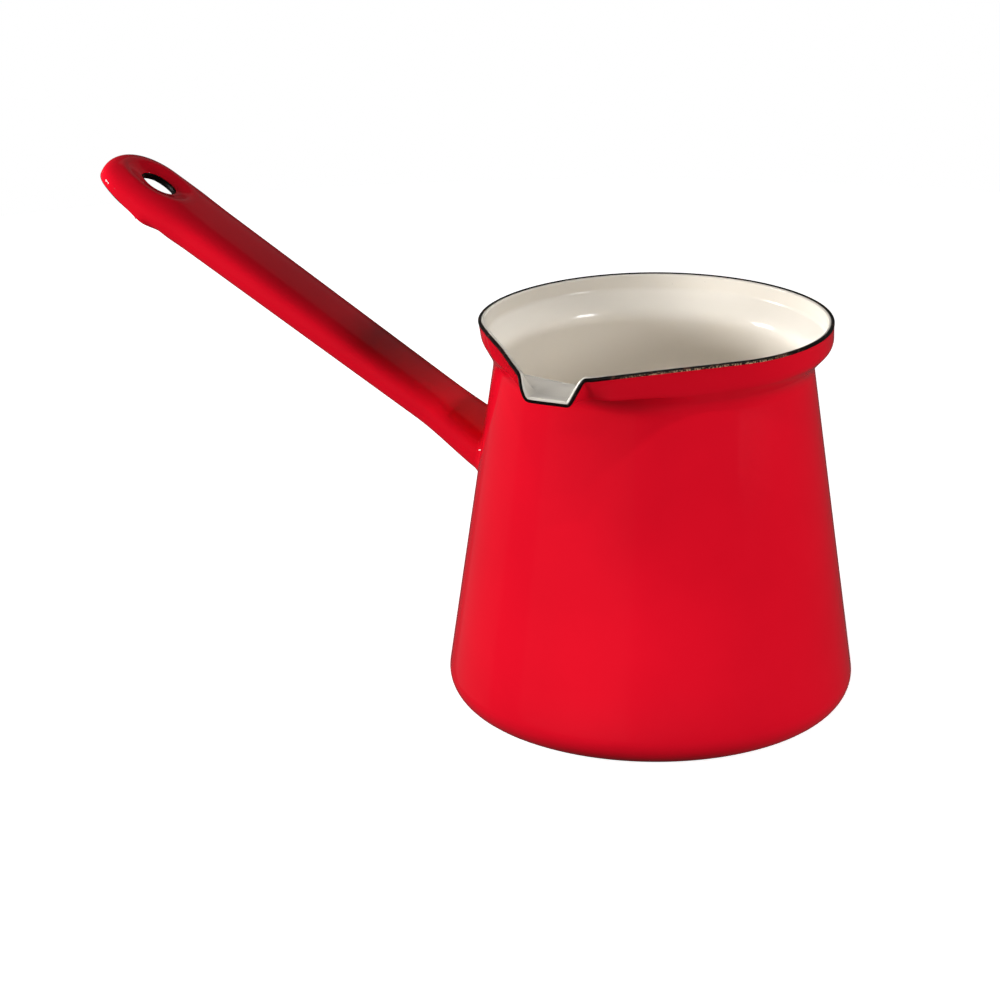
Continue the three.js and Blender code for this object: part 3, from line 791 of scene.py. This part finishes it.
def make_enamels():
    red = enamel(
        "red_enamel", colours=((0.79, 0.0042, 0.0185), (0.87, 0.0052, 0.0215)),
        roughness=(0.05, 0.09), shine=0.15, mottle=0.25, ripple=0.06)
    cream = enamel(
        "cream_enamel", colours=((0.865, 0.805, 0.712), (0.905, 0.85, 0.762)),
        roughness=(0.13, 0.18), shine=0.5, mottle=0.25, ripple=0.06,
        dots={"scale": 900, "from": 0.79, "colour": (0.35, 0.3, 0.24)})
    black = enamel(
        "black_enamel", colours=((0.003, 0.002, 0.002), (0.008, 0.006, 0.005)),
        roughness=(0.3, 0.5), shine=0.15, mottle=0.3, ripple=0.25,
        dots={"scale": 420, "from": 0.62, "colour": (0.07, 0.035, 0.025)},
        # The light specks' colour: partly chipped enamel, partly painted glints.
        chipped_and_glinting=(1.0, 0.68, 0.42))
    return red, cream, black


# ---- Stage, light and camera, in metres ---------------------------------------------------------

FLOOR_RADIUS = 0.55
FLOOR_SEGMENTS = 128
FLOOR_COLOUR = (0.9, 0.9, 0.9, 1)
FLOOR_GLOW = 0.84


def make_floor():
    """A round sheet of white paper that neither lights the pot nor is mirrored in it."""
    mesh = bpy.data.meshes.new("floor")
    bm = bmesh.new()
    bmesh.ops.create_circle(bm, cap_ends=True, segments=FLOOR_SEGMENTS, radius=FLOOR_RADIUS)
    bm.to_mesh(mesh)
    bm.free()
    floor = bpy.data.objects.new("floor", mesh)
    bpy.context.scene.collection.objects.link(floor)
    paper = bpy.data.materials.new("paper")
    paper.use_nodes = True
    shader = paper.node_tree.nodes["Principled BSDF"]
    shader.inputs["Base Color"].default_value = FLOOR_COLOUR
    shader.inputs["Roughness"].default_value = 1.0
    shader.inputs["Specular IOR Level"].default_value = 0.0
    shader.inputs["Emission Color"].default_value = (1, 1, 1, 1)
    shader.inputs["Emission Strength"].default_value = FLOOR_GLOW
    mesh.materials.append(paper)
    floor.visible_glossy = False
    floor.visible_diffuse = False


POT_MIDDLE = (0, 0, 0.06)
SPOT_BLEND = 0.8
MOUTH_LAMP_SPREAD = math.radians(24)


def place_light(light, azimuth, elevation, distance, target):
    """Aims a light at a target. Azimuth 0 is in front of the lip and 90 beyond +X."""
    a, e = math.radians(azimuth), math.radians(elevation)
    direction = Vector((math.sin(a) * math.cos(e), -math.cos(a) * math.cos(e), math.sin(e)))
    obj = bpy.data.objects.new(light.name, light)
    obj.location = Vector(target) + direction * distance
    obj.rotation_euler = direction.to_track_quat("Z", "Y").to_euler()
    obj.visible_camera = False
    bpy.context.scene.collection.objects.link(obj)
    return obj


def add_box(name, azimuth, elevation, distance, size, power, target=POT_MIDDLE):
    """A flat soft box."""
    light = bpy.data.lights.new(name, "AREA")
    light.shape = "RECTANGLE"
    light.size, light.size_y = size
    light.energy = power
    return place_light(light, azimuth, elevation, distance, target)


def add_spot(name, azimuth, elevation, cone, softness, power, target, distance=1.0):
    """A narrow soft lamp for one region. The cone is in degrees."""
    light = bpy.data.lights.new(name, "SPOT")
    light.energy = power
    light.spot_size = math.radians(cone)
    light.spot_blend = SPOT_BLEND
    light.shadow_soft_size = softness
    return place_light(light, azimuth, elevation, distance, target)


CAMERA_PLACE = (0.3110, -0.6519, 0.3139)
CAMERA_HEADING = math.radians(-28.59)
CAMERA_PITCH = math.radians(19.95)
CAMERA_ROLL = math.radians(-0.36)
SENSOR_WIDTH_MM = 36
LENS_MM = 108


def make_camera():
    data = bpy.data.cameras.new("camera")
    data.sensor_width = SENSOR_WIDTH_MM
    data.lens = LENS_MM
    camera = bpy.data.objects.new("camera", data)
    level = math.cos(CAMERA_PITCH)
    forward = Vector((math.sin(CAMERA_HEADING) * level, math.cos(CAMERA_HEADING) * level,
                      -math.sin(CAMERA_PITCH)))
    right = forward.cross((0, 0, 1)).normalized()
    up = right.cross(forward)
    turned_right = right * math.cos(CAMERA_ROLL) + up * math.sin(CAMERA_ROLL)
    turned_up = up * math.cos(CAMERA_ROLL) - right * math.sin(CAMERA_ROLL)
    turn = Matrix((turned_right, turned_up, -forward)).transposed()
    camera.matrix_world = Matrix.Translation(CAMERA_PLACE) @ turn.to_4x4()
    bpy.context.scene.collection.objects.link(camera)
    bpy.context.scene.camera = camera


WORLD_STRENGTH = 0.06


def make_world():
    """A white backdrop to look at that gives only a dim, even light."""
    world = bpy.data.worlds.new("studio")
    world.use_nodes = True
    tree = world.node_tree
    background = tree.nodes["Background"]
    background.inputs["Color"].default_value = (1, 1, 1, 1)
    path = tree.nodes.new("ShaderNodeLightPath")
    strength = tree.nodes.new("ShaderNodeMapRange")
    strength.inputs["To Min"].default_value = WORLD_STRENGTH
    strength.inputs["To Max"].default_value = 1.0
    tree.links.new(path.outputs["Is Camera Ray"], strength.inputs["Value"])
    tree.links.new(strength.outputs["Result"], background.inputs["Strength"])
    bpy.context.scene.world = world


def light_studio():
    """Two main soft boxes, fills that make no highlight, and cards that only show as one."""
    make_world()
    bpy.context.scene.view_settings.view_transform = "Standard"
    add_box("left_box", -64, 14, 1.3, (0.35, 0.25), 8)
    add_box("right_box", 80, 19, 1.3, (0.33, 0.22), 4.1)
    fills = [
        add_box("left_fill", -98, 15, 0.6, (0.2, 0.15), 0.5),
        add_box("front_fill", -34, 13, 1.3, (0.3, 0.2), 6.8),
        add_spot("right_spot", 66, 38, 6.4, 0.03, 6.2, (0.022, -0.012, 0.036)),
        add_box("right_fill", 102, 0, 0.7, (0.5, 0.12), 1.7),
        add_spot("mouth_spot", 10, 62, 5.4, 0.02, 17, (-0.002, 0.012, 0.07)),
        add_spot("back_spot", 10, 12, 2.3, 0.01, 8, (0, 0.03, 0.106)),
        add_spot("lip_spot", 10, 70, 1.4, 0.005, 5, (0, -0.05, 0.096)),
        add_spot("body_spot", -4, 40, 5.6, 0.03, 9, (0.023, -0.03, 0.01)),
        add_spot("tip_spot", -50, 25, 7.4, 0.03, 5.6, (-0.155, 0, 0.12), distance=0.6),
        add_box("low_fill", 18, -90, 0.002, (0.14, 0.07), 0.03, (0.035, -0.105, 0.004)),
        add_spot("mouth_left", -62, 27, 3.2, 0.02, 20, (0.026, 0.012, 0.083)),
        add_box("mouth_lamp", 90, 74, 0.24, (0.03, 0.03), 0.008, (-0.02, -0.01, 0.07)),
    ]
    fills[-1].data.spread = MOUTH_LAMP_SPREAD
    for fill in fills:
        fill.visible_glossy = False
    cards = [
        add_box("front_card", -18, -3, 1.2, (1.5, 0.6), 0.28),
        add_box("left_card", -97, -6, 1.2, (1.0, 0.7), 0.16),
        add_box("back_card", 180, 36, 1.2, (1.4, 0.6), 0.4),
    ]
    for card in cards:
        card.visible_diffuse = False


make_camera()
red, cream, black = make_enamels()
make_pot_shell(red)
make_lining(cream)
make_rim_edge(black)
make_handle(red)
make_root_weld(red)
make_seam_weld(red)
make_tip_edge(black)
make_slot_edge(black)
make_floor()
light_studio()
